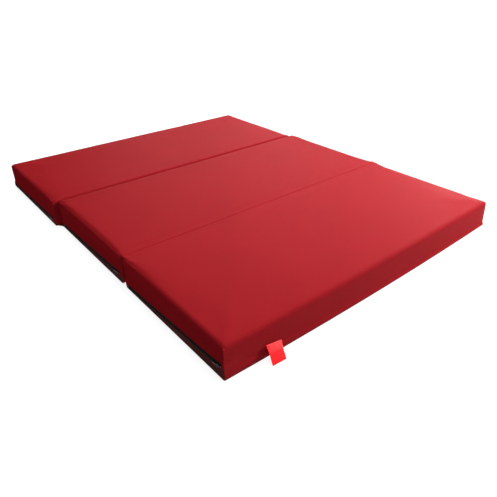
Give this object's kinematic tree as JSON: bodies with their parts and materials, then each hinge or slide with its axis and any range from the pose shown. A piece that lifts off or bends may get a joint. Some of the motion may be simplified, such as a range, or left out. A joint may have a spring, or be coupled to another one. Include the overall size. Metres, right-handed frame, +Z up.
{
  "type": "futon mattress",
  "caption": "Tri-fold futon mattress: foam blocks in zipped crimson fabric covers, joined by fabric hinges, that lies flat as a bed or folds in a zigzag into a low stack.",
  "frame": {"origin": "on the floor under the middle of the middle block", "axes": "+Z up; +X across the width, away from the zipped ends; +Y along the length, from the edge with the label tab to the rear"},
  "size_m": [1.531, 1.9473, 0.13],
  "materials": {
    "crimson_fabric": "matte",
    "base_fabric": "matte",
    "foam": "matte",
    "zip_tape": "matte",
    "nylon_teeth": "satin",
    "black_zinc": "satin",
    "ribbon": "satin"
  },
  "bodies": {
    "front_block": {"front_foam_core": "foam", "front_top_panel": "crimson_fabric", "front_base_panel": "base_fabric", "front_border_front": "crimson_fabric", "front_border_rear": "crimson_fabric", "front_border_right": "crimson_fabric", "front_border_left_upper": "crimson_fabric", "front_border_left_lower": "base_fabric", "front_zip_tape_upper": "zip_tape", "front_zip_tape_lower": "zip_tape", "front_zip_teeth": "nylon_teeth", "front_zip_stop_front": "black_zinc", "front_zip_stop_rear": "black_zinc", "label_tab": "ribbon"},
    "middle_block": {"middle_foam_core": "foam", "middle_top_panel": "crimson_fabric", "middle_base_panel": "base_fabric", "middle_border_front": "crimson_fabric", "middle_border_rear": "crimson_fabric", "middle_border_right": "crimson_fabric", "middle_border_left_upper": "crimson_fabric", "middle_border_left_lower": "base_fabric", "middle_zip_tape_upper": "zip_tape", "middle_zip_tape_lower": "zip_tape", "middle_zip_teeth": "nylon_teeth", "middle_zip_stop_front": "black_zinc", "middle_zip_stop_rear": "black_zinc", "top_hinge_strip": "crimson_fabric", "bottom_hinge_strip": "base_fabric"},
    "rear_block": {"rear_foam_core": "foam", "rear_top_panel": "crimson_fabric", "rear_base_panel": "base_fabric", "rear_border_front": "crimson_fabric", "rear_border_rear": "crimson_fabric", "rear_border_right": "crimson_fabric", "rear_border_left_upper": "crimson_fabric", "rear_border_left_lower": "base_fabric", "rear_zip_tape_upper": "zip_tape", "rear_zip_tape_lower": "zip_tape", "rear_zip_teeth": "nylon_teeth", "rear_zip_stop_front": "black_zinc", "rear_zip_stop_rear": "black_zinc"},
    "front_slider": {"front_zip_slider": "black_zinc"},
    "front_pull": {"front_zip_pull": "black_zinc"},
    "middle_slider": {"middle_zip_slider": "black_zinc"},
    "middle_pull": {"middle_zip_pull": "black_zinc"},
    "rear_slider": {"rear_zip_slider": "black_zinc"},
    "rear_pull": {"rear_zip_pull": "black_zinc"}
  },
  "joints": [
    {"name": "middle_fold", "type": "hinge", "parent": "front_block", "child": "middle_block", "pos_m": [0, -0.317, 0.131], "axis": [1, 0, 0], "range_deg": [0, 180], "deforming": ["top_hinge_strip"]},
    {"name": "rear_fold", "type": "hinge", "parent": "middle_block", "child": "rear_block", "pos_m": [0, 0.317, -0.001], "axis": [-1, 0, 0], "range_deg": [0, 180], "deforming": ["bottom_hinge_strip"]},
    {"name": "front_zip_run", "type": "slide", "parent": "front_block", "child": "front_slider", "axis": [0, 0.9982, -0.0594], "range_m": [0, 0.5637]},
    {"name": "front_pull_flip", "type": "hinge", "parent": "front_slider", "child": "front_pull", "pos_m": [-0.7552, -0.92386, 0.04924], "axis": [0, 0.0594, 0.9982], "range_deg": [0, 180]},
    {"name": "middle_zip_run", "type": "slide", "parent": "middle_block", "child": "middle_slider", "axis": [0, 0.9989, -0.0472], "range_m": [0, 0.5465]},
    {"name": "middle_pull_flip", "type": "hinge", "parent": "middle_slider", "child": "middle_pull", "pos_m": [-0.7552, -0.27293, 0.0414], "axis": [0, 0.0472, 0.9989], "range_deg": [0, 180]},
    {"name": "rear_zip_run", "type": "slide", "parent": "rear_block", "child": "rear_slider", "axis": [0, 0.9995, -0.0306], "range_m": [0, 0.5633]},
    {"name": "rear_pull_flip", "type": "hinge", "parent": "rear_slider", "child": "rear_pull", "pos_m": [-0.7792, 0.36098, 0.03161], "axis": [0, 0.0306, 0.9995], "range_deg": [0, 180]}
  ]
}
